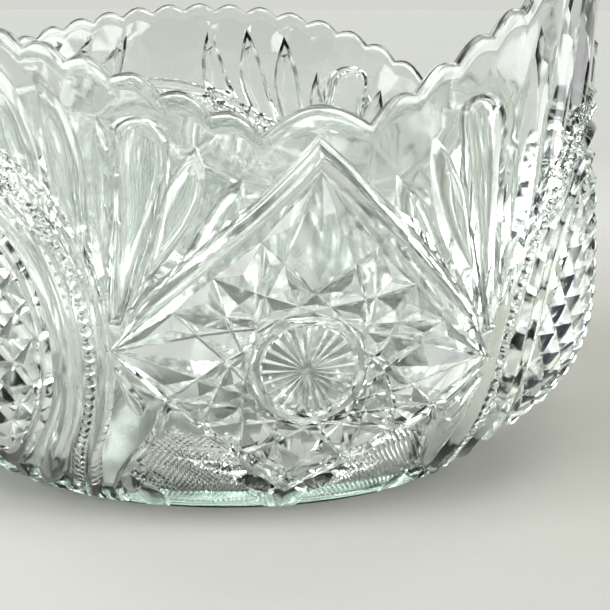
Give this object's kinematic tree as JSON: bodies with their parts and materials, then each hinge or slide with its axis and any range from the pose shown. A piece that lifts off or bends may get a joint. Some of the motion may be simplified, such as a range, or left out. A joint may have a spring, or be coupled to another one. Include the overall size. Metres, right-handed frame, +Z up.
{
  "type": "punch bowl",
  "caption": "Large clear pressed-glass punch bowl with star, fan and beaded arch relief and a waved, scalloped rim.",
  "frame": {"origin": "centre of the flat resting face under the bowl", "axes": "+Z up along the bowl's axis; -Y towards a low point of the rim and the star panel below it"},
  "size_m": [0.3388, 0.3389, 0.2215],
  "materials": {
    "clear_glass": "fire-polished clear glass with a faint green cast"
  },
  "bodies": {
    "root": {"bowl": "clear_glass"}
  },
  "joints": []
}
